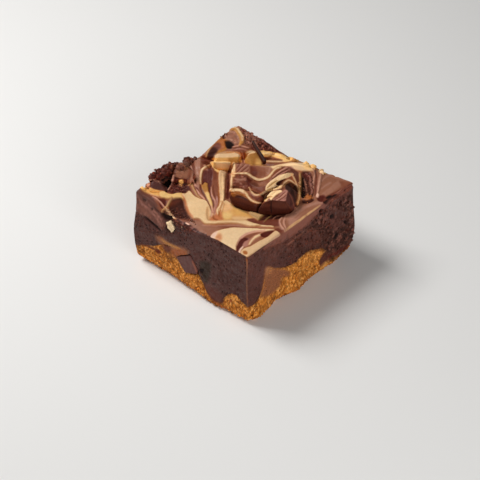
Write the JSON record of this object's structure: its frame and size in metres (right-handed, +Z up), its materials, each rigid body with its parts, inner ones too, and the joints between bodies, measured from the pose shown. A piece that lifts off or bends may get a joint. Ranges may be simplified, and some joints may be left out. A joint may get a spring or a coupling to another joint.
{
  "type": "brookie",
  "caption": "Square traybake slice: granular cookie base, fudge brownie middle, marbled blonde and milk chocolate topping with broken chocolate chunks, cut on its visible sides.",
  "frame": {"origin": "middle of the bounding box's underside, on the flat foot of the cookie base", "axes": "+Z up through the layers; the -Y and +X sides are the two cut sides that the picture shows, and they meet at the near corner; +Y runs along the longer side"},
  "size_m": [0.064, 0.0666, 0.0437],
  "materials": {
    "baked_cookie": "matte, granular crumb",
    "brownie": "matte, fine crumb",
    "milk_chocolate": "satin",
    "blonde_chocolate": "satin",
    "dark_chocolate": "satin",
    "nut": "matte"
  },
  "bodies": {
    "root": {"cookie_base": "baked_cookie", "brownie_layer": "brownie", "chocolate_topping": "milk_chocolate", "side_chunk": "dark_chocolate", "pale_chip": "nut", "scooped_chunk": "milk_chocolate", "ledge_chunk": "milk_chocolate", "corner_chunk": "milk_chocolate", "rear_chunk": "milk_chocolate", "rear_block": "blonde_chocolate", "golden_block": "blonde_chocolate", "milk_chunk": "milk_chocolate", "facet_chunk": "milk_chocolate", "crumb_lump": "brownie", "dark_shard": "dark_chocolate"}
  },
  "joints": []
}
